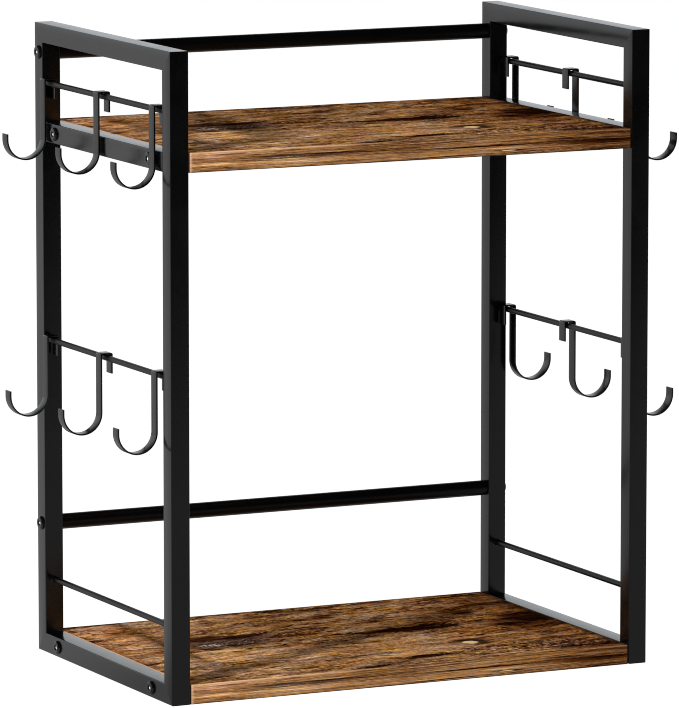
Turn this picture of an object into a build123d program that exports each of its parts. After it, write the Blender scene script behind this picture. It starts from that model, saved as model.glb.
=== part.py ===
from build123d import *
import os

# Coffee station organizer: two welded side frames of square tube, two boards bolted between them,
# two round back rails, and twelve strap hooks that slide on rods in the side frames.
# Millimetres. +X is to the right, +Y to the back, +Z up.
# The origin is the centre of the frame's footprint, on the surface that it stands on.

# Frame: outside sizes
frame_width = 400.0
frame_depth = 254.0
frame_height = 490.0

# Square tube of the side frames
tube_size = 15.0
tube_wall = 1.0
tube_corner_radius = 0.8

# Boards: the upper one's underside is given as a drop from the top of the frame
board_thickness = 15.0
upper_board_drop = 90.5
edge_band_thickness = 1.0
edge_band_rounding = 0.7

# Back rails of round tube
rail_diameter = 12.0
rail_wall = 1.2
upper_rail_drop = 22.6
lower_rail_height = 100.7

# Rods welded between the posts of each side frame
rod_diameter = 4.5
hook_rod_inset = 3.0
upper_hook_rod_drop = 45.6
middle_hook_rod_drop = 153.6
guard_rod_height = 57.1

# Strap hooks: a square clip over the rod, a long arm and a half round end
strap_width = 9.5
strap_thickness = 1.2
strap_bend_radius = 0.2
clip_inner_width = 7.5
clip_leg_gap = 0.5
clip_seat_gap = 0.5
clip_leg_length = 15.9
hook_drop = 61.8
hook_span = 32.5
hook_tip_rise = 4.4

# Places of the hooks on their rods
hook_row_spare_length = 9.0
upper_left_rear_gap = 1.25
middle_left_rear_gap = 3.75
upper_right_rear_gap = 5.2
middle_right_rear_gap = 2.0
hooks_per_row = 3

# Button head bolts, and the nuts that they screw into
bolt_diameter = 6.0
bolt_head_diameter = 10.5
bolt_head_height = 2.1
bolt_head_rounding = 1.6
bolt_socket_width = 4.0
bolt_socket_depth = 1.5
bolt_hole_clearance = 0.3
thread_clearance = 0.1
board_bolt_inset = 38.0
board_bolt_reach = 20.0
board_hole_spare_depth = 4.0
insert_nut_diameter = 9.0
insert_nut_length = 13.0
insert_nut_clearance = 0.1
rail_bolt_reach = 15.0
rail_nut_length = 16.0
rail_nut_clearance = 0.1

# A cut runs past the faces that it goes through by this much
cut_overrun = 1.0

# Places worked out from the sizes above
post_centre_x = frame_width / 2 - tube_size / 2
post_centre_y = frame_depth / 2 - tube_size / 2
post_inner_x = frame_width / 2 - tube_size
post_inner_y = frame_depth / 2 - tube_size
rod_length = 2 * post_inner_y
hook_rod_x = frame_width / 2 - hook_rod_inset
board_length = 2 * post_inner_x
board_depth = frame_depth
lower_board_z = 0.0
upper_board_z = frame_height - upper_board_drop
board_bolt_y = frame_depth / 2 - board_bolt_inset
lower_bolt_z = lower_board_z + tube_size / 2
upper_bolt_z = upper_board_z + tube_size / 2
upper_rail_z = frame_height - upper_rail_drop
upper_hook_rod_z = frame_height - upper_hook_rod_drop
middle_hook_rod_z = upper_board_z - middle_hook_rod_drop
hook_pitch = (rod_length - strap_width - hook_row_spare_length) / (hooks_per_row - 1)
bolt_hole_radius = bolt_diameter / 2 + bolt_hole_clearance


def rounded_square(size, radius):
    """A square outline, with round corners where the radius leaves any."""
    if radius > 0:
        return RectangleRounded(size, size, radius)
    return Rectangle(size, size)


def square_tube(length):
    """A length of the frame's tube along local Z, from zero, centred on the axis."""
    outer = rounded_square(tube_size, tube_corner_radius)
    inner = rounded_square(tube_size - 2 * tube_wall, tube_corner_radius - tube_wall)
    return extrude(outer - inner, length)


def mitred_tube(length):
    """The same tube with both ends mitred. Local +Y is the side inside the frame."""
    tube = square_tube(length)
    near = Plane(origin=(0, -tube_size / 2, 0), x_dir=(1, 0, 0), z_dir=(0, -1, 1))
    far = Plane(origin=(0, -tube_size / 2, length), x_dir=(1, 0, 0), z_dir=(0, -1, -1))
    tube = split(tube, bisect_by=near, keep=Keep.TOP)
    return split(tube, bisect_by=far, keep=Keep.TOP)


def round_bar(diameter, length):
    """A round bar along local Z, from zero."""
    return Cylinder(diameter / 2, length, align=(Align.CENTER, Align.CENTER, Align.MIN))


def along_y(x, y, z):
    """A place whose local Z runs along +Y and whose local +Y is up."""
    return Plane(origin=(x, y, z), x_dir=(-1, 0, 0), z_dir=(0, 1, 0)).location


def along_x(x, y, z, direction=1):
    """A place whose local Z runs along +X, or along -X for a direction of -1."""
    return Plane(origin=(x, y, z), x_dir=(0, 1, 0), z_dir=(direction, 0, 0)).location


def drilled(piece, places):
    """The piece with a bolt hole through it along X at each (y, z) place."""
    for y, z in places:
        start = along_x(-post_centre_x - tube_size / 2 - cut_overrun, y, z)
        piece = piece - start * round_bar(2 * bolt_hole_radius, tube_size + 2 * cut_overrun)
    return piece


def left_frame_tubes():
    """The left side frame's five tubes, by name, with their bolt holes."""
    x = -post_centre_x
    edge_y = frame_depth / 2
    upright = Plane(origin=(x, -post_centre_y, 0), x_dir=(1, 0, 0), z_dir=(0, 0, 1)).location
    rear_upright = Plane(origin=(x, post_centre_y, 0), x_dir=(-1, 0, 0), z_dir=(0, 0, 1)).location
    top = Plane(origin=(x, -edge_y, frame_height - tube_size / 2), x_dir=(1, 0, 0), z_dir=(0, 1, 0))
    board_bolts = (-board_bolt_y, board_bolt_y)
    rail_places = [(post_centre_y, z) for z in (lower_rail_height, upper_rail_z)]
    return {
        "front_post": upright * mitred_tube(frame_height),
        "rear_post": drilled(rear_upright * mitred_tube(frame_height), rail_places),
        "top_tube": top.location * mitred_tube(frame_depth),
        "bottom_tube": drilled(along_y(x, -edge_y, tube_size / 2) * mitred_tube(frame_depth),
                               [(y, lower_bolt_z) for y in board_bolts]),
        "shelf_crossbar": drilled(along_y(x, -post_inner_y, upper_bolt_z) * square_tube(rod_length),
                                  [(y, upper_bolt_z) for y in board_bolts]),
    }


def left_frame_rods():
    """The left side frame's three rods, by name."""
    rod = round_bar(rod_diameter, rod_length)
    return {
        "upper_hook_rod": along_y(-hook_rod_x, -post_inner_y, upper_hook_rod_z) * rod,
        "middle_hook_rod": along_y(-hook_rod_x, -post_inner_y, middle_hook_rod_z) * rod,
        "lower_guard_rod": along_y(-post_centre_x, -post_inner_y, guard_rod_height) * rod,
    }


def hook():
    """One strap hook. Local X points away from the frame, the rod's axis is the origin's Y axis."""
    clip_top = rod_diameter / 2 + clip_seat_gap + strap_thickness
    leg_x = -rod_diameter / 2 - clip_leg_gap - strap_thickness / 2
    arm_x = leg_x + clip_inner_width + strap_thickness
    bend_radius = hook_span / 2 - strap_thickness / 2
    bend_x = arm_x + bend_radius
    bend_z = clip_top - hook_drop + hook_span / 2
    leg_end = (leg_x, clip_top - clip_leg_length)
    leg_top = (leg_x, clip_top - strap_thickness / 2)
    arm_top = (arm_x, clip_top - strap_thickness / 2)
    arm_end = (arm_x, bend_z)
    corner_radius = strap_bend_radius + strap_thickness / 2
    clip = FilletPolyline(leg_end, leg_top, arm_top, arm_end, radius=corner_radius)
    bend = CenterArc((bend_x, bend_z), bend_radius, 180, 180)
    tip = Line((bend_x + bend_radius, bend_z), (bend_x + bend_radius, bend_z + hook_tip_rise))
    outline = trace(clip + bend + tip, line_width=strap_thickness)
    return extrude(Plane.XZ * outline, strap_width / 2, both=True)


def hook_y(rear_gap, index):
    """Where a hook's middle lies along its rod, counted from the rear post."""
    return post_inner_y - rear_gap - strap_width / 2 - index * hook_pitch


def hook_row(side, rod_z, rear_gap):
    """The hooks of one rod, rear, middle and front. Side is -1 on the left and 1 on the right."""
    one = hook() if side > 0 else mirror(hook(), about=Plane.YZ)
    return [Location((side * hook_rod_x, hook_y(rear_gap, i), rod_z)) * one
            for i in range(hooks_per_row)]


def bolt(reach):
    """A button head bolt. The seat under the head is at zero and the shank runs along local +Z."""
    head = Cylinder(bolt_head_diameter / 2, bolt_head_height,
                    align=(Align.CENTER, Align.CENTER, Align.MAX))
    head = fillet(head.edges().group_by(Axis.Z)[0], bolt_head_rounding)
    socket = extrude(RegularPolygon(bolt_socket_width / 2, 6, major_radius=False),
                     bolt_socket_depth)
    head = head - Location((0, 0, -bolt_head_height)) * socket
    return head + round_bar(bolt_diameter, tube_size + reach)


def threaded_sleeve(diameter, length):
    """A nut with a plain bore for the bolt, along local Z, from zero."""
    bore = round_bar(bolt_diameter + 2 * thread_clearance, length)
    return round_bar(diameter, length) - bore


def softened(band, face_axis, edge_axes):
    """A band with its outer face's edges rounded, those that run along the axes given."""
    outer = band.faces().sort_by(face_axis)[-1]
    edges = [edge for axis in edge_axes for edge in outer.edges().filter_by(axis)]
    return fillet(edges, edge_band_rounding)


def board_pieces(board_z):
    """A board's core and its four edge bands, by name."""
    core_length = board_length - 2 * edge_band_thickness
    core_depth = board_depth - 2 * edge_band_thickness
    middle_z = board_z + board_thickness / 2
    side_x = core_length / 2 + edge_band_thickness / 2
    end_y = core_depth / 2 + edge_band_thickness / 2
    centre = Location((0, 0, middle_z))
    short_band = softened(Box(edge_band_thickness, core_depth, board_thickness), Axis.X, [Axis.Y])
    long_band = softened(Box(board_length, edge_band_thickness, board_thickness), Axis.Y,
                         [Axis.X, Axis.Z])
    pieces = {
        "board": centre * Box(core_length, core_depth, board_thickness),
        "left_edge_band": centre * Location((-side_x, 0, 0)) * mirror(short_band, about=Plane.YZ),
        "right_edge_band": centre * Location((side_x, 0, 0)) * short_band,
        "front_edge_band": centre * Location((0, -end_y, 0)) * mirror(long_band, about=Plane.XZ),
        "rear_edge_band": centre * Location((0, end_y, 0)) * long_band,
    }
    pocket = round_bar(insert_nut_diameter + 2 * insert_nut_clearance, insert_nut_length)
    bolt_hole = round_bar(2 * bolt_hole_radius, board_bolt_reach + board_hole_spare_depth)
    drill = pocket + bolt_hole
    for side, band in ((-1, "left_edge_band"), (1, "right_edge_band")):
        for y in (-board_bolt_y, board_bolt_y):
            cut = along_x(side * board_length / 2, y, board_z + tube_size / 2, -side) * drill
            pieces["board"] = pieces["board"] - cut
            pieces[band] = pieces[band] - cut
    return pieces


def board_bolt_places(board_z):
    """The four places where a board is bolted, each a bolt's seat facing into the object."""
    return [along_x(side * frame_width / 2, y, board_z + tube_size / 2, -side)
            for side in (-1, 1) for y in (-board_bolt_y, board_bolt_y)]


def back_rail(rail_z):
    """A round tube between the rear posts."""
    tube = round_bar(rail_diameter, board_length)
    tube = tube - round_bar(rail_diameter - 2 * rail_wall, board_length)
    return along_x(-post_inner_x, post_centre_y, rail_z) * tube


def rail_bolt_places(rail_z):
    """The two places where a back rail is bolted."""
    return [along_x(side * frame_width / 2, post_centre_y, rail_z, -side) for side in (-1, 1)]


def shifted_in(place, distance):
    """The same place, moved along its own local Z."""
    return place * Location((0, 0, distance))


nodes = {}

for name, piece in {**left_frame_tubes(), **left_frame_rods()}.items():
    nodes["left_" + name] = piece
    nodes["right_" + name] = mirror(piece, about=Plane.YZ)

for level, board_z in (("upper", upper_board_z), ("lower", lower_board_z)):
    for name, piece in board_pieces(board_z).items():
        nodes[level + "_shelf_" + name] = piece
    places = board_bolt_places(board_z)
    sleeve = threaded_sleeve(insert_nut_diameter, insert_nut_length)
    nodes[level + "_shelf_bolts"] = Compound([place * bolt(board_bolt_reach) for place in places])
    nodes[level + "_shelf_insert_nuts"] = Compound(
        [shifted_in(place, tube_size) * sleeve for place in places])

for level, rail_z in (("upper", upper_rail_z), ("lower", lower_rail_height)):
    nodes[level + "_back_rail"] = back_rail(rail_z)
    places = rail_bolt_places(rail_z)
    nut_diameter = rail_diameter - 2 * rail_wall - 2 * rail_nut_clearance
    sleeve = threaded_sleeve(nut_diameter, rail_nut_length)
    nodes[level + "_back_rail_bolts"] = Compound([place * bolt(rail_bolt_reach) for place in places])
    nodes[level + "_back_rail_nuts"] = Compound(
        [shifted_in(place, tube_size) * sleeve for place in places])

hook_rows = (
    ("upper_left", -1, upper_hook_rod_z, upper_left_rear_gap),
    ("middle_left", -1, middle_hook_rod_z, middle_left_rear_gap),
    ("upper_right", 1, upper_hook_rod_z, upper_right_rear_gap),
    ("middle_right", 1, middle_hook_rod_z, middle_right_rear_gap),
)
for row, side, rod_z, rear_gap in hook_rows:
    for number, piece in enumerate(hook_row(side, rod_z, rear_gap), start=1):
        nodes[f"{row}_hook_{number}"] = piece

os.makedirs("parts", exist_ok=True)
for name, piece in nodes.items():
    export_step(piece, f"parts/{name}.step")
print(len(nodes), "nodes")
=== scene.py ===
import math

import bmesh
import bpy
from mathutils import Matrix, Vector

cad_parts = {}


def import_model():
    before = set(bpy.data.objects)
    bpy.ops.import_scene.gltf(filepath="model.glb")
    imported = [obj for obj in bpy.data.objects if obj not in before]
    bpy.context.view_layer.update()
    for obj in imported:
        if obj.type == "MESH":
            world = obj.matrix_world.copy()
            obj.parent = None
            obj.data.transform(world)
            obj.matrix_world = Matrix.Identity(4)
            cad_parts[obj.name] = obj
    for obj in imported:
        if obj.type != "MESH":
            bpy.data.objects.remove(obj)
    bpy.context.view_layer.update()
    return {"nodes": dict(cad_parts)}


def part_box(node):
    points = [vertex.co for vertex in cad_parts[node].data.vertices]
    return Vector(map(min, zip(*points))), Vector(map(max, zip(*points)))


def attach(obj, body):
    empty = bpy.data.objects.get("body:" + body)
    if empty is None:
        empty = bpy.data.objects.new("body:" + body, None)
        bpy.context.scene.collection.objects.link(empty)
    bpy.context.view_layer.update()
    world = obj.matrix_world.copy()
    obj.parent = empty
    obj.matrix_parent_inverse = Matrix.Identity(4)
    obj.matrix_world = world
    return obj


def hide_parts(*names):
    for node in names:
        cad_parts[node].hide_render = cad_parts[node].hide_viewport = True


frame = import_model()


# Sizes in metres, as in the part's own source
MM = 0.001
FRAME_WIDTH = 400 * MM
FRAME_DEPTH = 254 * MM
FRAME_HEIGHT = 490 * MM
TUBE = 15 * MM
TUBE_WALL = 1.0 * MM
TUBE_CORNER = 0.8 * MM
BOARD = 15 * MM
UPPER_BOARD_Z = 399.5 * MM
BAND_ROUNDING = 0.7 * MM
BAND_END_GAP = 0.95 * MM
RAIL_DIAMETER = 12 * MM
RAIL_Z = {"upper": 467.4 * MM, "lower": 100.7 * MM}
ROD_DIAMETER = 4.5 * MM
HOOK_ROD_X = 197 * MM
GUARD_ROD_X = 192.5 * MM
ROD_Z = {"upper_hook_rod": 444.4 * MM, "middle_hook_rod": 245.9 * MM, "lower_guard_rod": 57.1 * MM}

BOARD_BOLT_Y = 89 * MM
BOARD_BOLT_LENGTH = 35 * MM
RAIL_BOLT_LENGTH = 30 * MM
BOLT_RADIUS = 3.0 * MM
BOLT_TIP_CHAMFER = 0.5 * MM
BOLT_HEAD_RADIUS = 5.25 * MM
BOLT_HEAD_HEIGHT = 2.1 * MM
BOLT_HEAD_ROUNDING = 1.6 * MM
BOLT_HEAD_CHAMFER = 0.12 * MM
BOLT_SEAT_DEPTH = 0.01 * MM
SOCKET_HALF_WIDTH = 2.0 * MM
SOCKET_DEPTH = 0.95 * MM
SOCKET_LIP = 0.18 * MM
DRILL_RADIUS = 1.2 * MM
DRILL_DEPTH = 0.7 * MM
DRILL_POINT_RADIUS = 0.05 * MM
DRILL_POINT_LIFT = 0.02 * MM

STRAP_WIDTH = 9.5 * MM
STRAP_THICKNESS = 1.2 * MM
STRAP_ROUNDING = 0.12 * MM
STRAP_BEND = 0.8 * MM
CLIP_INNER_WIDTH = 7.5 * MM
CLIP_LEG_GAP = 0.5 * MM
CLIP_SEAT_GAP = 0.5 * MM
CLIP_LEG_LENGTH = 15.9 * MM
HOOK_DROP = 61.8 * MM
HOOK_SPAN = 32.5 * MM
HOOK_TIP_RISE = 4.4 * MM
WELD_BEAD = 0.55 * MM

post_inner_x = FRAME_WIDTH / 2 - TUBE
post_centre_x = FRAME_WIDTH / 2 - TUBE / 2
post_inner_y = FRAME_DEPTH / 2 - TUBE
post_centre_y = FRAME_DEPTH / 2 - TUBE / 2
SIDES = (("left", -1), ("right", 1))
LEVELS = ("upper", "lower")


# Materials

class Signal:
    """A value in a material. Python's operators on it add the Math nodes."""

    def __init__(self, material, socket):
        self.material = material
        self.socket = socket

    def math(self, operation, *values):
        return self.material.node("ShaderNodeMath", {"operation": operation}, values)

    def __add__(self, other):
        return self.math("ADD", self, other)

    def __radd__(self, other):
        return self.math("ADD", other, self)

    def __sub__(self, other):
        return self.math("SUBTRACT", self, other)

    def __rsub__(self, other):
        return self.math("SUBTRACT", other, self)

    def __mul__(self, other):
        return self.math("MULTIPLY", self, other)

    def __rmul__(self, other):
        return self.math("MULTIPLY", other, self)

    def __truediv__(self, other):
        return self.math("DIVIDE", self, other)

    def __rtruediv__(self, other):
        return self.math("DIVIDE", other, self)

    def __gt__(self, other):
        return self.math("GREATER_THAN", self, other)

    def __abs__(self):
        return self.math("ABSOLUTE", self)

    def rise(self, low, high):
        """0 below low, 1 above high and smooth between them. It falls where low is the larger."""
        return self.material.node("ShaderNodeMapRange", {"interpolation_type": "SMOOTHSTEP"},
                                  {"Value": self, "From Min": low, "From Max": high})

    def clipped(self):
        return self.material.node("ShaderNodeClamp", {}, (self,))


class Finish:
    """A material or the world's light, built node by node."""

    def __init__(self, owner):
        owner.use_nodes = True
        self.owner = owner
        self.tree = owner.node_tree
        self.tree.nodes.clear()

    def node(self, kind, settings=None, values=(), output=0):
        """Adds a node: its settings first, then its sockets by name or in order."""
        node = self.tree.nodes.new(kind)
        for name, value in (settings or {}).items():
            if name == "stops":
                ramp = node.color_ramp
                while len(ramp.elements) < len(value):
                    ramp.elements.new(0.5)
                for stop, (place, colour) in zip(ramp.elements, value):
                    stop.position = place
                    stop.color = (*colour, 1)
            else:
                setattr(node, name, value)
        pairs = values.items() if isinstance(values, dict) else enumerate(values)
        for key, value in pairs:
            if value is None:
                continue
            if isinstance(value, Signal):
                self.tree.links.new(value.socket, node.inputs[key])
            elif isinstance(value, tuple) and node.inputs[key].type == "RGBA":
                node.inputs[key].default_value = (*value[:3], 1)
            else:
                node.inputs[key].default_value = value
        return Signal(self, node.outputs[output])

    def blend(self, factor, first, second, mode="MIX"):
        """The first colour, or the second where the factor is 1."""
        return self.node("ShaderNodeMix", {"data_type": "RGBA", "blend_type": mode},
                         {0: factor, 6: first, 7: second}, 2)

    def place(self):
        """The point on the piece, in metres in the object's own frame."""
        return self.node("ShaderNodeTexCoord", output="Object")

    def parts(self, vector):
        """A vector's X, Y and Z."""
        node = self.tree.nodes.new("ShaderNodeSeparateXYZ")
        self.tree.links.new(vector.socket, node.inputs[0])
        return [Signal(self, out) for out in node.outputs]

    def vector(self, x, y, z=0.0):
        return self.node("ShaderNodeCombineXYZ", {}, (x, y, z))

    def noise(self, vector, scale, detail, roughness):
        return self.node("ShaderNodeTexNoise", {"noise_dimensions": "3D"},
                         {"Vector": vector, "Scale": scale, "Detail": detail, "Roughness": roughness})

    def surface(self, colour, roughness, normal=None, **constants):
        """Ends the material in one principled shader. Constants go straight on its sockets."""
        values = {"Base Color": colour, "Roughness": roughness, "Normal": normal}
        values.update({name.replace("_", " "): value for name, value in constants.items()})
        shader = self.node("ShaderNodeBsdfPrincipled", {}, values)
        self.node_output("ShaderNodeOutputMaterial", shader)
        return self.owner

    def bump(self, height, distance, strength=1.0):
        return self.node("ShaderNodeBump", {},
                         {"Height": height, "Distance": distance, "Strength": strength})

    def node_output(self, kind, shader):
        output = self.tree.nodes.new(kind)
        self.tree.links.new(shader.socket, output.inputs["Surface"])


def srgb(red, green, blue):
    """A colour given in 0 to 255, as a screen shows it, made linear."""
    return tuple(((c / 255 + 0.055) / 1.055) ** 2.4 if c > 10 else c / 255 / 12.92
                 for c in (red, green, blue))


PEEL_PER_METRE = 900.0
CLOUDS_PER_METRE = 28.0
PEEL_HEIGHT = 0.03 * MM


def powder_coat(name, colour, roughness, grain=1.0, gloss=0.5):
    """Satin black powder coat: a fine orange peel and slightly uneven sheen."""
    paint = Finish(bpy.data.materials.new(name))
    place = paint.place()
    peel = paint.noise(place, PEEL_PER_METRE, 2.0, 0.5)
    cloud = paint.noise(place, CLOUDS_PER_METRE, 3.0, 0.6)
    rub = cloud.rise(0.35, 0.75)
    tone = paint.blend(rub, colour, tuple(c * 1.35 for c in colour))
    sheen = roughness + 0.07 * (peel - 0.5) + 0.05 * (rub - 0.5)
    relief = paint.bump(peel, PEEL_HEIGHT * grain, 0.5)
    return paint.surface(tone, sheen, relief, Specular_IOR_Level=gloss)


TURNING_PER_METRE = 1400.0
DULL_PATCHES_PER_METRE = 90.0
TURNING_HEIGHT = 0.02 * MM


def plated(name, colour, roughness, metallic=1.0):
    """Turned and plated steel, for the nuts and for the sockets' pale cones, which paint their glint."""
    zinc = Finish(bpy.data.materials.new(name))
    place = zinc.place()
    turned = zinc.noise(place, TURNING_PER_METRE, 3.0, 0.6)
    dull = zinc.noise(place, DULL_PATCHES_PER_METRE, 2.0, 0.5)
    tone = zinc.blend(dull, colour, tuple(c * 0.75 for c in colour))
    return zinc.surface(tone, roughness + 0.15 * (turned - 0.5), zinc.bump(turned, TURNING_HEIGHT, 0.4),
                        Metallic=metallic)


# The boards' print, in mm from the board's middle: u runs along the grain and v across it

BETWEEN_BOARDS = 200 * MM
RELIEF_HEIGHT = 0.10 * MM

# Millimetres of print for each metre of a face, up a front or rear edge, and along a side edge
MM_PER_METRE = 1000
FACE_WIDTH = 254
EDGE_SQUEEZE = FACE_WIDTH / BOARD
SIDE_STRETCH = 1456

# The tones of the print, from its darkest value to its palest
PRINT_TONES = ((0.00, srgb(16, 4, 1)), (0.13, srgb(36, 16, 6)), (0.26, srgb(62, 34, 16)),
               (0.37, srgb(88, 56, 30)), (0.47, srgb(108, 74, 44)), (0.58, srgb(129, 92, 58)),
               (0.70, srgb(150, 111, 74)), (0.84, srgb(174, 134, 93)), (1.00, srgb(207, 168, 126)))

# The dark marks, placed one by one. Each has its middle u and v, half length, half width, the inner share
# that is full, how dark it is in smooth grain and how much darker in rough grain, and how much of it the
# face and an edge band keep
DARK_MARKS = (
    (-84, 34, 54, 12, 0.1, 0.20, 0.90, 1, 1),
    (-90, 18, 52, 30, 0.0, 0.00, 0.90, 1, 1),
    (-28, 22, 46, 7, 0.0, 0.50, 0.00, 1, 1),
    (62, 6, 54, 12, 0.1, 0.40, 0.65, 1, 1),
    (8, 8, 34, 6, 0.0, 0.55, 0.00, 1, 1),
    (170, 12, 30, 27, 0.2, 0.15, 0.95, 1, 0),
    (170, 5, 30, 18, 0.2, 0.15, 0.95, 0, 1),
    (158, -6, 38, 34, 0.0, 0.00, 0.60, 1, 1),
    (168, 76, 34, 60, 0.0, 0.12, 0.35, 1, 0.1),
    (-6, 121, 20, 4, 0.0, 0.90, 0.00, 1, 1),
    (24, 116, 44, 7, 0.0, 0.40, 0.00, 1, 1),
    (20, 78, 16, 12, 0.0, 0.00, 0.40, 1, 1),
    (130, 52, 20, 18, 0.0, 0.00, 0.75, 1, 1),
    (-150, 81, 18, 15, 0.0, 0.00, 0.65, 1, 1),
    (26, -100, 32, 6, 0.2, 0.75, 0.00, 1, 1),
    (92, -86, 44, 4, 0.0, 0.00, 0.70, 1, 1),
    (150, -72, 40, 5, 0.0, 0.00, 0.60, 1, 1),
    (160, -112, 34, 12, 0.0, 0.00, 0.90, 1, 1),
    (-150, 18, 42, 5, 0.0, 0.45, 0.00, 1, 1),
    (110, 116, 80, 8, 0.0, 0.00, 0.50, 1, 1),
)

# The golden marks, placed one by one. Each has its middle u and v, half length, half width, how much
# paler it is than the wood round it, or darker where that is negative, and how much of it an edge band
# keeps
GOLDEN_MARKS = (
    (-120, -46, 66, 44, 0.20, 1),
    (-28, -74, 80, 36, 0.12, 1),
    (-165, -30, 26, 26, 0.16, 1),
    (-160, 70, 24, 74, 0.30, 0.2),
    (112, -34, 44, 20, 0.08, 1),
    (-80, -106, 84, 16, 0.09, 1),
    (-116, -104, 36, 28, 0.12, 1),
    (-70, -44, 76, 38, 0.10, 1),
    (70, 84, 36, 52, 0.11, 1),
    (114, 100, 32, 30, 0.10, 1),
    (160, 56, 30, 26, 0.10, 1),
    (-14, 60, 42, 70, -0.06, 1),
    (112, -64, 30, 26, -0.09, 1),
    (-182, 60, 14, 76, 0.06, 0),
    (-98, -91, 28, 12, 0.18, 1),
    (-92, -8, 54, 10, 0.14, 1),
    (-100, -32, 26, 12, -0.16, 1),
    (78, -31, 24, 10, 0.16, 1),
    (128, 13, 24, 11, -0.15, 1),
    (126, 88, 32, 14, 0.12, 1),
    (164, -90, 26, 12, -0.16, 1),
    (164, -52, 30, 13, -0.12, 1),
    (40, -111, 26, 10, 0.13, 1),
    (-98, 31, 26, 12, 0.12, 1),
)

# Zones with a character of their own, given in the same way
ROUGH_ZONE = (114, -99, 96, 31)
ASHEN_ZONE = (-84, 13, 44, 17)
OLIVE_ZONE = (-88, 18, 58, 26)
RED_ZONE = (-165, 60, 34, 84)

# Small marks with colours of their own: middle u and v, half length, half width and inner share
PALE_SLIVER = (-104, -16, 20, 5, 0.0)
DARK_DASH = (-110, -7, 11, 3.6, 0.3)
GREY_FLAKES = (-106, 9, 15, 7, 0.0)
KNOT_U, KNOT_V = 80, -64
KNOT_HALF_LENGTH, KNOT_HALF_WIDTH = 6.2, 5.6

SLIVER_COLOUR = srgb(198, 160, 106)
DASH_COLOUR = srgb(24, 12, 6)
FLAKES_COLOUR = srgb(182, 172, 158)
KNOT_COLOUR = srgb(200, 170, 124)
RING_COLOUR = srgb(24, 11, 6)
ASHEN_COLOUR = srgb(168, 148, 130)
CHARRED_COLOUR = srgb(12, 9, 8)

# Tints that multiply the print's colour
ASHEN_TINT, GOLDEN_TINT = (0.79, 1.0, 1.78), (1.21, 1.0, 0.22)
OLIVE_TINT, RED_TINT = (0.87, 1.05, 1.02), (1.13, 0.95, 0.98)


def oval(u, v, centre_u, centre_v, half_u, half_v, inner=0.0):
    """1 inside an oval patch of the board, falling smoothly to 0 at its edge. Lengths in mm."""
    du = (u - centre_u) / half_u
    dv = (v - centre_v) / half_v
    return (du * du + dv * dv).rise(1.0, inner)


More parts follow.
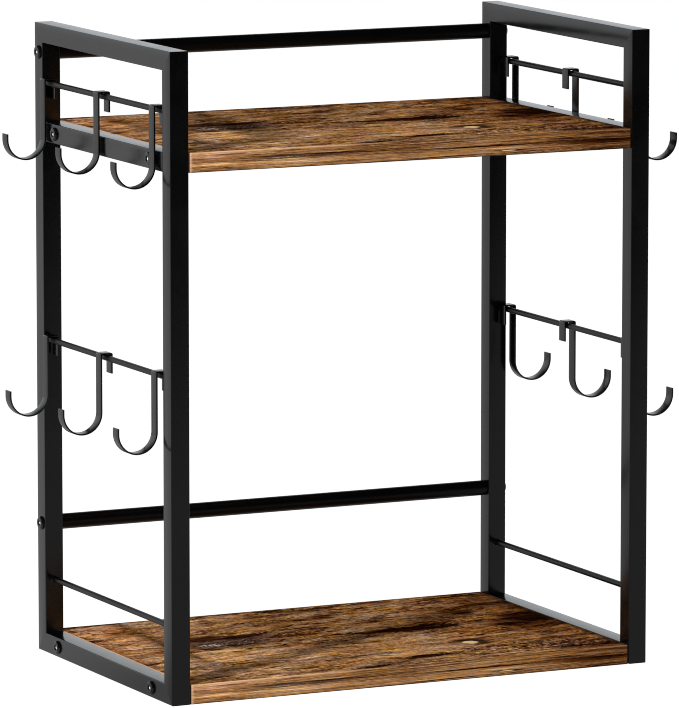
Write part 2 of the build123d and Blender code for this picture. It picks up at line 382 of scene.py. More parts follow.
class BoardPrint:
    """The boards' rustic wood print, as a finish built from short steps.

    across and along turn the point's (x, y, z) into mm on the print. The edges carry the same print as
    the face, squeezed. edge is 0 for a face, and 1 for an edge band, whose print is smoother.
    """

    def __init__(self, name, across, along, edge):
        self.wood = Finish(bpy.data.materials.new(name))
        self.x, self.y, z = self.wood.parts(self.wood.place())
        self.on_upper_board = z > BETWEEN_BOARDS
        place = (self.x, self.y, z - UPPER_BOARD_Z * self.on_upper_board)
        self.u, self.v = along(*place), across(*place)
        self.edge = edge
        self.bend()
        self.lay_grain()

    def bend(self):
        """The grain wanders, so every pattern reads bent coordinates."""
        wood, u, v = self.wood, self.u, self.v
        drift = wood.noise(wood.vector(u * 0.009, v * 0.012), 1.0, 2.0, 0.5)
        wave = wood.noise(wood.vector(u * 0.035, v * 0.05, 3.0), 1.0, 3.0, 0.6)
        self.bent_u = u + 30 * (drift - 0.5)
        self.bent_v = v - 0.10 * u + 34 * (drift - 0.5) + 9 * (wave - 0.5)

    def layer(self, length, width, seed, detail=4.0, roughness=0.62):
        """Noise whose patches are about this long and wide, in mm, from -1 to 1."""
        stretch = 1 + 0.5 * self.edge
        bent = self.wood.vector(self.bent_u / (length * stretch), self.bent_v / width, seed)
        return 2 * self.wood.noise(bent, 1.0, detail, roughness) - 1

    def lay_grain(self):
        """The grain's layers, from broad zones to single fibres, and what is made of them."""
        self.zones = self.layer(150, 48, 7.0, 3.0)
        self.planks = self.layer(70, 14, 1.0, 4.0)
        self.mottle = self.layer(16, 9, 5.0, 5.0, 0.72)
        self.streaks = self.layer(9, 2.6, 9.0, 4.0, 0.7)
        self.grain = self.layer(3.2, 3.6, 11.0, 3.0, 0.75)
        self.fibres = self.layer(34, 1.3, 13.0, 3.0, 0.65)
        self.bark = self.layer(4.5, 4.5, 21.0, 5.0, 0.8)
        self.grainy = (0.55 + 1.1 * self.mottle + 0.8 * self.streaks + 1.1 * self.grain).clipped()
        self.ragged_u = self.u + 20 * self.mottle + 14 * self.planks + 4 * self.grain
        self.ragged_v = self.v + 12 * self.mottle + 9 * self.planks + 4 * self.streaks

    def mark(self, centre_u, centre_v, half_u, half_v, inner=0.0):
        """An oval patch with a ragged outline."""
        return oval(self.ragged_u, self.ragged_v, centre_u, centre_v, half_u, half_v, inner)

    def wood_tone(self):
        """How pale the wood is before its marks, with thin dark veins in its darker planks."""
        tone = 0.54 + 0.26 * self.zones + 0.36 * self.planks + 0.46 * self.mottle + 0.40 * self.streaks
        tone = tone + (0.52 - 0.10 * self.edge) * self.grain + 0.44 * self.fibres
        veins = abs(self.layer(70, 19, 17.0, 3.0, 0.6))
        fine_veins = abs(self.layer(38, 9, 27.0, 3.0, 0.6))
        tone = tone - 0.26 * veins.rise(0.09, 0.0) * self.planks.rise(0.25, -0.1)
        return tone - 0.20 * fine_veins.rise(0.10, 0.0) * self.zones.rise(0.3, -0.2)

    def dark_marks(self):
        """The darkest of the dark marks at each point, from 0 to 1."""
        shade = 0.0
        for *patch, smooth, rough, on_face, on_edge in DARK_MARKS:
            kept = on_edge if self.edge else on_face
            if kept:
                depth = kept * (smooth + rough * self.grainy) if rough else kept * smooth
                dark = self.mark(*patch) * depth
                shade = dark.math("MAXIMUM", dark, shade)
        return shade.clipped()

    def golden_marks_and_shade(self, value):
        """The golden marks on how pale the wood is, darker to the right end, and painted shade on upper
        edge bands.
        """
        for *patch, strength, on_edge in GOLDEN_MARKS:
            kept = on_edge if self.edge else 1
            if kept:
                value = value + self.mark(*patch) * (strength * kept)
        if self.edge:
            # Edge bands: a little paler, paler towards the left end and darker towards the right end
            value = value + 0.025 + 0.07 * self.u.rise(-140, -172) - 0.07 * self.u.rise(110, 175)
            # Painted shade: the upper board's edge bands darker than the lower board's
            value = value - 0.05 * self.on_upper_board
        return value - 0.07 * self.u.rise(60, 185)

    def tinted(self, colour):
        """The hue goes from ashen to golden and from olive to red, in patches of every size."""
        golden = 1.7 * self.layer(42, 22, 31.0, 3.0, 0.7) + 1.2 * self.layer(13, 8, 37.0, 4.0, 0.85)
        golden = golden + 0.6 * self.layer(3.2, 3.6, 41.0, 3.0, 0.8) + 0.16 * self.u.rise(20, 150)
        golden = golden + (0.03 * self.edge - 0.05) - 0.9 * self.mark(*OLIVE_ZONE)
        red = 1.8 * self.layer(34, 18, 47.0, 3.0, 0.7) + 1.3 * self.layer(11, 7, 53.0, 4.0, 0.85)
        red = red + 0.16 * self.u.rise(20, 150) + 0.4 * self.mark(*RED_ZONE) - 0.03 * self.edge
        gilt = self.wood.blend((0.5 + 0.58 * golden).clipped(), ASHEN_TINT, GOLDEN_TINT)
        blush = self.wood.blend((0.5 + 0.7 * red).clipped(), OLIVE_TINT, RED_TINT)
        colour = self.wood.blend(1.0, colour, gilt, "MULTIPLY")
        return self.wood.blend(1.0, colour, blush, "MULTIPLY")

    def weathered(self, colour, shade, rough_zone):
        """Ashen specks in the rough and ashen zones, and charred ones in the deepest marks."""
        ash = rough_zone * self.bark.rise(0.05, 0.45) * 0.75
        ash = ash + self.mark(*ASHEN_ZONE) * self.grain.rise(0.05, 0.4) * 0.7
        colour = self.wood.blend(ash.clipped(), colour, ASHEN_COLOUR)
        charred = shade.rise(0.7, 1.0) * self.grain.rise(0.3, -0.2)
        return self.wood.blend(charred * 0.6, colour, CHARRED_COLOUR)

    def painted_rim_light(self, colour):
        """Arrises and ends: painted highlights on the lit arrises, painted shade on the others and in the
        end gaps.
        """
        x, y, u, v, blend = self.x, self.y, self.u, self.v, self.wood.blend
        if self.edge:
            # Painted highlight along the top arris of the left half, strongest near the left end
            arris_highlight = x.rise(-0.01, -0.09) * (0.35 + 0.65 * x.rise(-0.182, -0.155))
            colour = blend(v.rise(104, 124) * (0.05 + 0.55 * arris_highlight), colour, srgb(206, 164, 128))
            # Painted shade along the lower arris
            colour = blend(v.rise(-108, -121) * 0.8, colour, srgb(46, 26, 14))
            # Painted highlight on the rounded corner at the left end
            colour = blend(x.rise(-0.1815, -0.1832) * 0.35, colour, srgb(198, 160, 132))
            # Painted shade in the gap at the left end of the front face
            gap_shade = x.rise(-0.1839, -0.1841) * y.rise(-0.125, -0.1256)
            colour = blend(gap_shade * 0.95, colour, srgb(20, 10, 6))
            # Painted shade in the gap at the right end
            return blend(x.rise(0.183, 0.1845) * 0.9, colour, srgb(16, 9, 5))
        # Painted shade along the face's front arris
        colour = blend(v.rise(-123, -127) * 0.35, colour, srgb(60, 36, 20))
        # Painted shade along the face's rear arris
        colour = blend(v.rise(119, 126) * 0.55, colour, srgb(40, 24, 14))
        # Painted shade beside the right-hand tube
        return blend(u.rise(176, 184) * 0.75, colour, srgb(26, 15, 9))

    def small_marks(self, colour):
        """The pale sliver, the dash and the grey flakes by the large dark mark."""
        near_u, near_v = self.u + 5 * self.mottle, self.v + 3 * self.mottle
        colour = self.wood.blend(oval(near_u, near_v, *PALE_SLIVER) * 0.7, colour, SLIVER_COLOUR)
        colour = self.wood.blend(oval(near_u, near_v, *DARK_DASH) * 0.9, colour, DASH_COLOUR)
        flakes = oval(near_u, near_v, *GREY_FLAKES) * self.grain.rise(-0.1, 0.2)
        return self.wood.blend(flakes * 0.8, colour, FLAKES_COLOUR)

    def knot(self, colour):
        """The light knot with its dark ring."""
        du = (self.u - KNOT_U + 3 * self.mottle) / KNOT_HALF_LENGTH
        dv = (self.v - KNOT_V + 4 * self.mottle) / KNOT_HALF_WIDTH
        distance = du * du + dv * dv
        ring = distance.rise(10.0, 3.0) * (0.5 + 0.5 * (du + 0.8 * dv).rise(-1.5, 0.8))
        colour = self.wood.blend(ring * (0.8 + 0.2 * self.grainy), colour, RING_COLOUR)
        return self.wood.blend(distance.rise(1.25, 0.7) * 0.85, colour, KNOT_COLOUR)

    def material(self):
        """The finished material, with a shallow relief of its fibres and marks."""
        rough_zone = self.mark(*ROUGH_ZONE)
        shade = self.dark_marks()
        value = self.golden_marks_and_shade(self.wood_tone()) - 0.60 * shade + rough_zone * self.bark
        colour = self.wood.node("ShaderNodeValToRGB", {"stops": PRINT_TONES}, (value,))
        colour = self.weathered(self.tinted(colour), shade, rough_zone)
        colour = self.knot(self.small_marks(self.painted_rim_light(colour)))
        height = self.streaks * 0.5 + self.fibres * 0.3 - 0.7 * shade + 0.5 * rough_zone * self.bark
        roughness = 0.72 + 0.08 * self.streaks + 0.10 * shade
        relief = self.wood.bump(height, RELIEF_HEIGHT, 0.5)
        return self.wood.surface(colour, roughness, relief, Specular_IOR_Level=0.0)


FRAME_BLACK = (0.0009, 0.0009, 0.0010)
RAIL_BLACK = (0.0007, 0.0007, 0.0008)
BOLT_BLACK = (0.0020, 0.0020, 0.0021)
ZINC = (0.56, 0.56, 0.58)
# The pale colour of the cones that paint the glint in the bolts' sockets
SOCKET_GLINT_PALE = (0.92, 0.92, 0.92)

frame_paint = powder_coat("frame_powder_coat", FRAME_BLACK, 0.20)
rod_paint = powder_coat("rod_powder_coat", FRAME_BLACK, 0.38, 0.7, 0.30)
rail_paint = powder_coat("rail_powder_coat", RAIL_BLACK, 0.34, 1.0, 0.25)
hook_paint = powder_coat("hook_powder_coat", FRAME_BLACK, 0.22, 0.7)
bolt_black = powder_coat("bolt_black_oxide", BOLT_BLACK, 0.16, 0.4)
nut_zinc = plated("nut_zinc", ZINC, 0.34)
# Pale steel whose brightness paints the glint in the bolts' sockets
socket_glint_steel = plated("socket_glint_steel", SOCKET_GLINT_PALE, 0.30, 0.35)


# Ways to read a point (x, y, z) of a board as mm on the print

def along_x(x, y, z):
    return x * MM_PER_METRE


def along_x_mirrored(x, y, z):
    return x * -MM_PER_METRE


def along_side(x, y, z):
    return y * SIDE_STRETCH


def across_face(x, y, z):
    return y * MM_PER_METRE


def up_the_edge(x, y, z):
    return (z - BOARD / 2) * EDGE_SQUEEZE


wood_face = BoardPrint("board_wood_face", across_face, along_x, 0.0).material()
wood_front = BoardPrint("board_wood_front_edge", up_the_edge, along_x, 1.0).material()
wood_rear = BoardPrint("board_wood_rear_edge", up_the_edge, along_x_mirrored, 1.0).material()
wood_side = BoardPrint("board_wood_side_edge", up_the_edge, along_side, 1.0).material()


# Pieces

def mesh_object(name, vertices, faces=(), edges=()):
    mesh = bpy.data.meshes.new(name)
    mesh.from_pydata([tuple(v) for v in vertices], edges, faces)
    mesh.update()
    piece = bpy.data.objects.new(name, mesh)
    bpy.context.scene.collection.objects.link(piece)
    return piece


def dressed(piece, material, body, slot, *nodes):
    """Gives a finished piece its paint, its body and the CAD nodes that it stands for."""
    if material is not None:
        piece.data.materials.clear()
        piece.data.materials.append(material)
    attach(piece, body)
    if nodes:
        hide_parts(*nodes)
    return piece


def smooth_by_angle(piece, degrees=35.0):
    """Smooth shading, with sharp edges where the faces turn by more than this."""
    limit = math.radians(degrees)
    shape = bmesh.new()
    shape.from_mesh(piece.data)
    bmesh.ops.recalc_face_normals(shape, faces=shape.faces)
    for face in shape.faces:
        face.smooth = True
    for edge in shape.edges:
        edge.smooth = len(edge.link_faces) == 2 and edge.calc_face_angle(0.0) < limit
    shape.to_mesh(piece.data)
    shape.free()
    return piece


def lofted(name, rings, close=False):
    """Joins rings of equally many points. close joins the last ring to the first."""
    count = len(rings[0])
    faces = []
    for i in range(len(rings) if close else len(rings) - 1):
        low, high = i * count, (i + 1) % len(rings) * count
        for j in range(count):
            k = (j + 1) % count
            faces.append((low + j, low + k, high + k, high + j))
    return mesh_object(name, [p for ring in rings for p in ring], faces)


def rounded_square(size, radius, steps=5):
    """Points round a square with round corners, as (a, b) from its middle."""
    points = []
    inset = size / 2 - radius
    for corner in range(4):
        centre_a = inset * (1 if corner in (0, 3) else -1)
        centre_b = inset * (1 if corner in (0, 1) else -1)
        for step in range(steps + 1):
            angle = math.radians(90 * corner + 90 * step / steps)
            points.append((centre_a + radius * math.cos(angle), centre_b + radius * math.sin(angle)))
    return points


def tube_between(name, start, along, inward, length, mitred):
    """A square tube from start. Mitred ends slope so that the side facing inward is the shorter."""
    along, inward = Vector(along), Vector(inward)
    sideways = along.cross(inward)
    outer = rounded_square(TUBE, TUBE_CORNER)
    inner = rounded_square(TUBE - 2 * TUBE_WALL, max(TUBE_CORNER - TUBE_WALL, 0.05 * MM))

    def ring(profile, end):
        points = []
        for a, b in profile:
            cut = (a + TUBE / 2) * (1 if end == 0 else -1) if mitred else 0.0
            points.append(Vector(start) + along * (end * length + cut) + inward * a + sideways * b)
        return points

    rings = [ring(outer, 0), ring(outer, 1), ring(inner, 1), ring(inner, 0)]
    return smooth_by_angle(lofted(name, rings, close=True))


def side_frame(side, sign):
    """One side frame's five tubes, each in the place of its CAD node."""
    x = sign * post_centre_x
    y, z = FRAME_DEPTH / 2, FRAME_HEIGHT
    tubes = {
        "front_post": ((x, -post_centre_y, 0), (0, 0, 1), (0, 1, 0), z, True),
        "rear_post": ((x, post_centre_y, 0), (0, 0, 1), (0, -1, 0), z, True),
        "bottom_tube": ((x, -y, TUBE / 2), (0, 1, 0), (0, 0, 1), 2 * y, True),
        "top_tube": ((x, -y, z - TUBE / 2), (0, 1, 0), (0, 0, -1), 2 * y, True),
        "shelf_crossbar": ((x, -post_inner_y, UPPER_BOARD_Z + TUBE / 2), (0, 1, 0), (0, 0, 1),
                           2 * post_inner_y, False),
    }
    for name, sizes in tubes.items():
        node = f"{side}_{name}"
        dressed(tube_between(node + "_coated", *sizes), frame_paint, "frame", "frame_steel", node)


for side, sign in SIDES:
    side_frame(side, sign)


# Geometry Nodes trees

class Tree:
    """A Geometry Nodes tree with named inputs, built in the same way as a finish."""

    def __init__(self, name, **inputs):
        self.tree = bpy.data.node_groups.new(name, "GeometryNodeTree")
        self.tree.interface.new_socket("Geometry", in_out="INPUT", socket_type="NodeSocketGeometry")
        self.tree.interface.new_socket("Geometry", in_out="OUTPUT", socket_type="NodeSocketGeometry")
        self.keys = {}
        for label, kind in inputs.items():
            item = self.tree.interface.new_socket(label, in_out="INPUT", socket_type="NodeSocket" + kind)
            self.keys[label] = item.identifier
        self.inputs = self.tree.nodes.new("NodeGroupInput").outputs

    def node(self, kind, settings=None, values=None, output=0):
        node = self.tree.nodes.new(kind)
        for name, value in (settings or {}).items():
            setattr(node, name, value)
        for key, value in (values or {}).items():
            if isinstance(value, bpy.types.NodeSocket):
                self.tree.links.new(value, node.inputs[key])
            else:
                node.inputs[key].default_value = value
        return node.outputs[output]

    def end(self, geometry):
        """Ends in Realize Instances and Set Material, as the export needs."""
        real = self.node("GeometryNodeRealizeInstances", {}, {0: geometry})
        painted = self.node("GeometryNodeSetMaterial", {},
                            {"Geometry": real, "Material": self.inputs["Material"]})
        output = self.tree.nodes.new("NodeGroupOutput")
        self.tree.links.new(painted, output.inputs[0])
        return self

    def run(self, carrier, name, **values):
        """The tree's result on this carrier, as a plain mesh object. The carrier is removed."""
        modifier = carrier.modifiers.new("shape", "NODES")
        modifier.node_group = self.tree
        for label, value in values.items():
            modifier[self.keys[label]] = value
        bpy.context.view_layer.update()
        depsgraph = bpy.context.evaluated_depsgraph_get()
        mesh = bpy.data.meshes.new_from_object(carrier.evaluated_get(depsgraph))
        carrier.modifiers.clear()
        bpy.data.objects.remove(carrier)
        mesh.name = name
        piece = bpy.data.objects.new(name, mesh)
        bpy.context.scene.collection.objects.link(piece)
        return piece


def swept_strap_tree():
    """Sweeps a flat strap with rounded edges along a path. Its width lies along Y."""
    tree = Tree("swept_strap", Width="Float", Thickness="Float", Rounding="Float", Material="Material")
    path = tree.node("GeometryNodeMeshToCurve", {}, {"Mesh": tree.inputs["Geometry"]})
    path = tree.node("GeometryNodeSetCurveNormal", {"mode": "FREE"}, {"Curve": path, "Normal": (0, 1, 0)})
    profile = tree.node("GeometryNodeCurvePrimitiveQuadrilateral", {"mode": "RECTANGLE"},
                        {"Width": tree.inputs["Width"], "Height": tree.inputs["Thickness"]})
    profile = tree.node("GeometryNodeFilletCurve", {"mode": "POLY"},
                        {"Curve": profile, "Count": 3, "Radius": tree.inputs["Rounding"],
                         "Limit Radius": True})
    strap = tree.node("GeometryNodeCurveToMesh", {},
                      {"Curve": path, "Profile Curve": profile, "Fill Caps": True})
    return tree.end(strap)


def swept_bar_tree():
    """Sweeps a round bar along a path."""
    tree = Tree("swept_bar", Diameter="Float", Material="Material")
    path = tree.node("GeometryNodeMeshToCurve", {}, {"Mesh": tree.inputs["Geometry"]})
    radius = tree.node("ShaderNodeMath", {"operation": "DIVIDE"}, {0: tree.inputs["Diameter"], 1: 2.0})
    profile = tree.node("GeometryNodeCurvePrimitiveCircle", {"mode": "RADIUS"},
                        {"Resolution": 40, "Radius": radius})
    bar = tree.node("GeometryNodeCurveToMesh", {},
                    {"Curve": path, "Profile Curve": profile, "Fill Caps": True})
    return tree.end(bar)


def set_on_places_tree():
    """Puts a piece on every place of the carrier, its own Z turned to the place's facing."""
    tree = Tree("set_on_places", Piece="Object", Material="Material")
    piece = tree.node("GeometryNodeObjectInfo", {"transform_space": "ORIGINAL"},
                      {"Object": tree.inputs["Piece"]}, "Geometry")
    facing = tree.node("GeometryNodeInputNamedAttribute", {"data_type": "FLOAT_VECTOR"},
                       {"Name": "facing"})
    turn = tree.node("FunctionNodeAlignRotationToVector", {"axis": "Z"}, {"Vector": facing})
    placed = tree.node("GeometryNodeInstanceOnPoints", {},
                       {"Points": tree.inputs["Geometry"], "Instance": piece, "Rotation": turn})
    return tree.end(placed)


swept_strap = swept_strap_tree()
swept_bar = swept_bar_tree()
set_on_places = set_on_places_tree()


def path_object(points):
    return mesh_object("path", points, edges=[(i, i + 1) for i in range(len(points) - 1)])


def places_object(places):
    """A carrier with one point for each (position, facing)."""
    carrier = mesh_object("places", [p for p, _ in places])
    facing = carrier.data.attributes.new("facing", "FLOAT_VECTOR", "POINT")
    for i, (_, direction) in enumerate(places):
        facing.data[i].vector = direction
    return carrier


def arc(centre, radius, start, end, steps):
    """Points of an arc in the XZ plane, angles in degrees."""
    points = []
    for i in range(steps + 1):
        angle = math.radians(start + (end - start) * i / steps)
        points.append((centre[0] + radius * math.cos(angle), centre[1] + radius * math.sin(angle)))
    return points


def hook_line():
    """A hook's middle line as (outward, up) from the rod's axis, from the clip's leg to the tip."""
    clip_top = ROD_DIAMETER / 2 + CLIP_SEAT_GAP + STRAP_THICKNESS
    top = clip_top - STRAP_THICKNESS / 2
    leg = -ROD_DIAMETER / 2 - CLIP_LEG_GAP - STRAP_THICKNESS / 2
    arm = leg + CLIP_INNER_WIDTH + STRAP_THICKNESS
    radius = HOOK_SPAN / 2 - STRAP_THICKNESS / 2
    bend = (arm + radius, clip_top - HOOK_DROP + HOOK_SPAN / 2)
    points = [(leg, clip_top - CLIP_LEG_LENGTH)]
    points += arc((leg + STRAP_BEND, top - STRAP_BEND), STRAP_BEND, 180, 90, 6)
    points += arc((arm - STRAP_BEND, top - STRAP_BEND), STRAP_BEND, 90, 0, 6)
    points += arc(bend, radius, 180, 360, 36)
    points.append((bend[0] + radius, bend[1] + HOOK_TIP_RISE))
    return points


def hooks():
    for row, sign, rod in (("upper_left", -1, "upper_hook_rod"), ("middle_left", -1, "middle_hook_rod"),
                           ("upper_right", 1, "upper_hook_rod"), ("middle_right", 1, "middle_hook_rod")):
        for number in (1, 2, 3):
            node = f"{row}_hook_{number}"
            low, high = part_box(node)
            y = (low.y + high.y) / 2
            points = [(sign * (HOOK_ROD_X + u), y, ROD_Z[rod] + z) for u, z in hook_line()]
            strap = swept_strap.run(path_object(points), node + "_strap", Width=STRAP_WIDTH,
                                    Thickness=STRAP_THICKNESS, Rounding=STRAP_ROUNDING,
                                    Material=hook_paint)
            dressed(smooth_by_angle(strap, 40), None, node, "hook_steel", node)


def rods_and_rails():
    for side, sign in SIDES:
        for rod, z in ROD_Z.items():
            x = sign * (GUARD_ROD_X if rod == "lower_guard_rod" else HOOK_ROD_X)
            ends = [(x, -post_inner_y, z), (x, post_inner_y, z)]
            bar = swept_bar.run(path_object(ends), f"{side}_{rod}_coated", Diameter=ROD_DIAMETER,
                                Material=rod_paint)
            dressed(smooth_by_angle(bar), None, "frame", "frame_steel", f"{side}_{rod}")
    for level, z in RAIL_Z.items():
        ends = [(-post_inner_x, post_centre_y, z), (post_inner_x, post_centre_y, z)]
        rail = swept_bar.run(path_object(ends), f"{level}_back_rail_coated", Diameter=RAIL_DIAMETER,
                             Material=rail_paint)
        dressed(smooth_by_angle(rail), None, "frame", "rail_steel", f"{level}_back_rail")


def revolved(name, outline, count=48):
    """A turned piece. The outline's points are (radius, z). A radius may be a function of the angle."""
    rings = []
    for radius, z in outline:
        ring = []
        for i in range(count):
            angle = math.tau * i / count
            r = radius(angle) if callable(radius) else radius
            ring.append((r * math.cos(angle), r * math.sin(angle), z))
        rings.append(ring)
    piece = lofted(name, rings)
    shape = bmesh.new()
    shape.from_mesh(piece.data)
    shape.verts.ensure_lookup_table()
    last = len(rings) - 1
    shape.faces.new([shape.verts[j] for j in reversed(range(count))])
    shape.faces.new([shape.verts[last * count + j] for j in range(count)])
    shape.to_mesh(piece.data)
    shape.free()
    return smooth_by_angle(piece, 30)


def hexagon(half_width):
    """The radius of a hexagon at each angle."""
    return lambda angle: half_width / math.cos((angle % (math.pi / 3)) - math.pi / 6)


def button_bolt(name, shank):
    """A button head bolt with a hexagon socket. The head's seat is at zero and faces +Z."""
    top, floor_z = BOLT_HEAD_HEIGHT, BOLT_HEAD_HEIGHT - SOCKET_DEPTH
    mouth_radius = SOCKET_HALF_WIDTH / math.cos(math.pi / 6) + BOLT_HEAD_CHAMFER
    outline = [(BOLT_RADIUS - BOLT_TIP_CHAMFER, -shank), (BOLT_RADIUS, -shank + BOLT_TIP_CHAMFER),
               (BOLT_RADIUS, -BOLT_SEAT_DEPTH), (BOLT_HEAD_RADIUS - BOLT_HEAD_CHAMFER, 0.0),
               (BOLT_HEAD_RADIUS, BOLT_HEAD_CHAMFER)]
    steps = 8
    for i in range(steps + 1):
        angle = math.radians(90 * i / steps)
        outline.append((BOLT_HEAD_RADIUS - BOLT_HEAD_ROUNDING * (1 - math.cos(angle)),
                        top - BOLT_HEAD_ROUNDING * (1 - math.sin(angle))))
    outline += [(mouth_radius, top), (hexagon(SOCKET_HALF_WIDTH), top - SOCKET_LIP),
                (hexagon(SOCKET_HALF_WIDTH), floor_z), (DRILL_RADIUS, floor_z),
                (DRILL_POINT_RADIUS, floor_z - DRILL_DEPTH)]
    return revolved(name, outline)


def drill_point(name, count=24):
    """The cone in a socket's floor, made pale so that it paints the socket's glint."""
    mouth = BOLT_HEAD_HEIGHT - SOCKET_DEPTH + DRILL_POINT_LIFT
    angles = [math.tau * i / count for i in range(count)]
    ring = [(DRILL_RADIUS * math.cos(a), DRILL_RADIUS * math.sin(a), mouth) for a in angles]
    return mesh_object(name, ring + [(0.0, 0.0, mouth - DRILL_DEPTH)],
                       [(i, (i + 1) % count, count) for i in range(count)])


def set_on(places, name, one, material):
    """Copies of a piece on all the places, as one piece. The original is removed."""
    group = set_on_places.run(places_object(places), name, Piece=one, Material=material)
    bpy.data.objects.remove(one)
    return group


def bolts():
    board_ys = (-BOARD_BOLT_Y, BOARD_BOLT_Y)
    for node, shank, z, ys in (
            ("lower_shelf_bolts", BOARD_BOLT_LENGTH, TUBE / 2, board_ys),
            ("upper_shelf_bolts", BOARD_BOLT_LENGTH, UPPER_BOARD_Z + TUBE / 2, board_ys),
            ("lower_back_rail_bolts", RAIL_BOLT_LENGTH, RAIL_Z["lower"], (post_centre_y,)),
            ("upper_back_rail_bolts", RAIL_BOLT_LENGTH, RAIL_Z["upper"], (post_centre_y,))):
        places = [((sign * FRAME_WIDTH / 2, y, z), (sign, 0, 0)) for _, sign in SIDES for y in ys]
        group = set_on(places, node + "_black", button_bolt("bolt", shank), bolt_black)
        dressed(smooth_by_angle(group, 30), None, "frame", "bolt_steel", node)
        # Pale cones in the socket floors: a painted glint
        glint = set_on(places, node + "_drill_points", drill_point("cone"), socket_glint_steel)
        dressed(glint, None, "frame", "nut_zinc")


def ring_bead(name, radius, bead):
    """A weld fillet round a rod's end. The post's face is at zero and the rod runs along +Z."""
    outline = [(radius * 0.9, 0.0), (radius + bead, 0.0), (radius + bead * 0.45, bead * 0.35),
               (radius + bead * 0.12, bead * 0.75), (radius, bead * 1.2), (radius * 0.9, bead * 1.2)]
    return revolved(name, outline, 32)


def welds():
    """The fillets where the rods meet the posts."""
    for side, sign in SIDES:
        for rod, z in ROD_Z.items():
            x = sign * (GUARD_ROD_X if rod == "lower_guard_rod" else HOOK_ROD_X)
            places = [((x, -end * post_inner_y, z), (0, end, 0)) for end in (1, -1)]
            bead = ring_bead("bead", ROD_DIAMETER / 2, WELD_BEAD)
            beads = set_on(places, f"{side}_{rod}_welds", bead, frame_paint)
            dressed(smooth_by_angle(beads, 60), None, "frame", "frame_steel")


# The axis that a band faces along, and which way
OUTWARD = {"front": (1, -1), "rear": (1, 1), "left": (0, -1), "right": (0, 1)}


def edge_bands():
    """The thin bands round each board, with their corners softened as a trimmer leaves them."""
    prints = {"front": wood_front, "rear": wood_rear, "left": wood_side, "right": wood_side}
    for level in LEVELS:
        for place, print_ in prints.items():
            node = f"{level}_shelf_{place}_edge_band"
            low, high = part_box(node)
            band = bmesh.new()
            bmesh.ops.create_cube(band, size=1.0)
            middle, size = (low + high) / 2, high - low
            if place in ("front", "rear"):
                size.x -= 2 * BAND_END_GAP
            bmesh.ops.scale(band, vec=size, verts=band.verts)
            bmesh.ops.translate(band, vec=middle, verts=band.verts)
            axis, outward = OUTWARD[place]
            outer = [e for e in band.edges
                     if all((v.co[axis] - middle[axis]) * outward > 0 for v in e.verts)
                     and (axis == 1 or abs(e.verts[0].co.z - e.verts[1].co.z) < BAND_ROUNDING)]
            bmesh.ops.bevel(band, geom=outer, offset=BAND_ROUNDING, segments=4, profile=0.5,
                            affect="EDGES", clamp_overlap=True)
            piece = mesh_object(node + "_laminate", [], [])
            band.to_mesh(piece.data)
            band.free()
            dressed(smooth_by_angle(piece, 30), print_, "frame", "edge_band", node)


def cad_nodes():
    """The CAD nodes whose shape is right get their finish in place."""
    for level in LEVELS:
        for name, material, slot in ((f"{level}_shelf_board", wood_face, "board"),
                                     (f"{level}_shelf_insert_nuts", nut_zinc, "nut_zinc"),
                                     (f"{level}_back_rail_nuts", nut_zinc, "nut_zinc")):
            node = frame["nodes"][name]
            node.data.materials.clear()
            node.data.materials.append(material)


hooks()
rods_and_rails()
bolts()
welds()
edge_bands()
cad_nodes()


# Stage, light and camera

FLOOR_HALF_WIDTH = 30.0

# The floor's own colour, how much of it is lifted to plain white for the camera, and that white
FLOOR_COLOUR = (0.86, 0.86, 0.86)
FLOOR_LIFT = 0.9
FLOOR_WHITE = 1.06

# What gloss sees of the studio: bright behind and at the left, dark in front, a little cool. The front
# floor is darker from FRONT_FADE_START on and black from FRONT_FADE_END on, in metres along Y
FRONT_FLOOR = 0.33
FRONT_FADE_START = -0.9
FRONT_FADE_END = -2.7
REAR_FLOOR = 0.68
RIGHT_FLOOR_SHARE = 0.68
HORIZON = 0.86
FRONT_SKY = 0.01
FRONT_GLOW = 0.15
GLOSS_TINT = (0.965, 1.0, 1.03)

# What matt faces see of it
DAYLIGHT = 0.50

# Each lamp: its place, width in metres and watts
LAMPS = {"key": ((-3.09, -1.68, 2.21), 0.34, 235.0),
         "fill": ((2.4, -2.0, 1.4), 2.0, 16.0),
         "back": ((0.6, 2.6, 2.2), 2.0, 16.0)}

# The photograph's camera, fitted to the object's straight edges: metres, degrees, and mm for the lens
CAMERA_PLACE = (-2.238187, -4.671690, 0.996013)
CAMERA_YAW = 25.5896
CAMERA_PITCH = 8.3452
SENSOR_HEIGHT = 36.0
LENS_LENGTH = 345.89
CLIP_END = 100.0

# The photograph's edges are crisper than the default pixel filter makes them
PIXEL_FILTER = 1.0


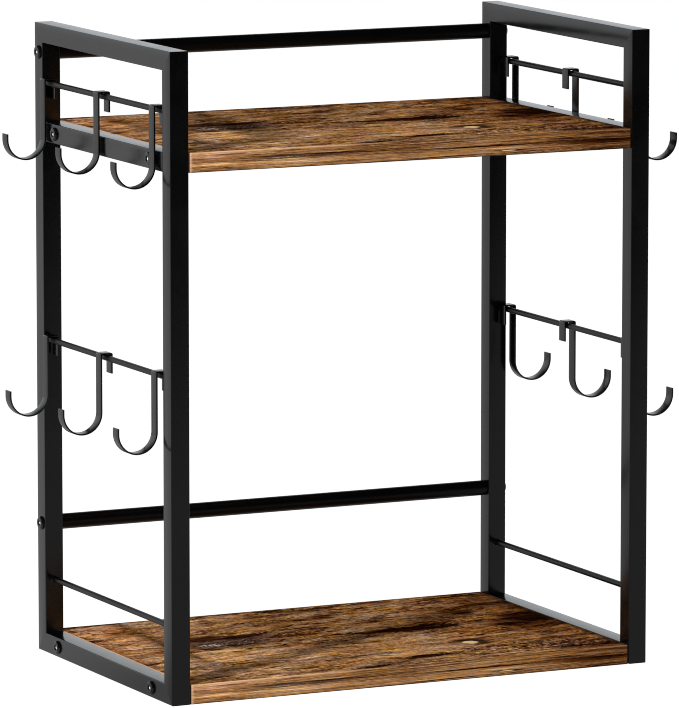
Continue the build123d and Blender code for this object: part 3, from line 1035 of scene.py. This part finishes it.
def floor():
    """A floor that is white to the camera but for a faint shadow. Gloss sees it dimmer in front."""
    far = FLOOR_HALF_WIDTH
    ground = mesh_object("floor", [(-far, -far, 0), (far, -far, 0), (far, far, 0), (-far, far, 0)],
                         [(0, 1, 2, 3)])
    pale = Finish(bpy.data.materials.new("pale_floor"))
    x, y, _ = pale.parts(pale.place())
    path = pale.tree.nodes.new("ShaderNodeLightPath").outputs
    camera, gloss, through = [Signal(pale, path[n]) for n in
                              ("Is Camera Ray", "Is Glossy Ray", "Is Transmission Ray")]
    left_share = RIGHT_FLOOR_SHARE + (1 - RIGHT_FLOOR_SHARE) * (x + 0.4 * y).rise(0.0, -0.25)
    in_front = FRONT_FLOOR * y.rise(FRONT_FADE_END, FRONT_FADE_START) * y.rise(0.2, -0.1)
    behind = REAR_FLOOR * y.rise(-0.1, 0.2) * left_share
    reflected = in_front + behind
    strength = (camera + through) * FLOOR_WHITE + gloss * reflected
    glow = pale.node("ShaderNodeEmission", {}, {"Color": (1.0, 1.0, 1.0), "Strength": strength})
    plain = pale.node("ShaderNodeBsdfDiffuse", {}, {"Color": FLOOR_COLOUR})
    share = (camera + through) * FLOOR_LIFT + gloss
    both = pale.node("ShaderNodeMixShader", {}, {0: share.clipped(), 1: plain, 2: glow})
    pale.node_output("ShaderNodeOutputMaterial", both)
    ground.data.materials.append(pale.owner)


def world():
    """Light from all round: white to the camera, even on matt faces, for gloss bright only behind."""
    scene_world = bpy.data.worlds.new("studio")
    bpy.context.scene.world = scene_world
    sky = Finish(scene_world)
    _, y, z = sky.parts(sky.node("ShaderNodeTexCoord", output="Generated"))
    path = sky.tree.nodes.new("ShaderNodeLightPath").outputs
    camera, gloss, through, diffuse = [Signal(sky, path[n]) for n in
                                       ("Is Camera Ray", "Is Glossy Ray", "Is Transmission Ray",
                                        "Is Diffuse Ray")]
    horizon = FRONT_SKY + (HORIZON - FRONT_SKY) * y.rise(-0.35, 0.25) * z.rise(0.65, 0.25)
    horizon = horizon + FRONT_GLOW * z.rise(0.20, 0.02) * y.rise(-0.3, -0.6)
    strength = camera + through + gloss * horizon + diffuse * DAYLIGHT
    tint = sky.blend(gloss, (1.0, 1.0, 1.0), GLOSS_TINT)
    light = sky.node("ShaderNodeBackground", {}, {"Color": tint, "Strength": strength})
    sky.node_output("ShaderNodeOutputWorld", light)


def lamp(name, place, size, power):
    """A soft area lamp that looks at the middle of the object."""
    light = bpy.data.lights.new(name, "AREA")
    light.shape = "DISK"
    light.size = size
    light.energy = power
    holder = bpy.data.objects.new(name, light)
    holder.location = place
    look = Vector((0, 0, FRAME_HEIGHT / 2)) - Vector(place)
    holder.rotation_euler = look.to_track_quat("-Z", "Y").to_euler()
    holder.visible_glossy = False
    holder.visible_camera = False
    bpy.context.scene.collection.objects.link(holder)


def camera():
    """The photograph's view: a long lens from the front left, a little above."""
    yaw, pitch = math.radians(CAMERA_YAW), math.radians(CAMERA_PITCH)
    lens = bpy.data.cameras.new("photo_view")
    lens.sensor_fit = "VERTICAL"
    lens.sensor_height = SENSOR_HEIGHT
    lens.lens = LENS_LENGTH
    lens.clip_end = CLIP_END
    holder = bpy.data.objects.new("photo_view", lens)
    holder.location = CAMERA_PLACE
    holder.rotation_euler = (math.pi / 2 - pitch, 0.0, -yaw)
    bpy.context.scene.collection.objects.link(holder)
    bpy.context.scene.camera = holder


floor()
world()
for lamp_name, lamp_values in LAMPS.items():
    lamp(lamp_name, *lamp_values)
camera()
bpy.context.scene.view_settings.view_transform = "Standard"
bpy.context.scene.cycles.filter_width = PIXEL_FILTER
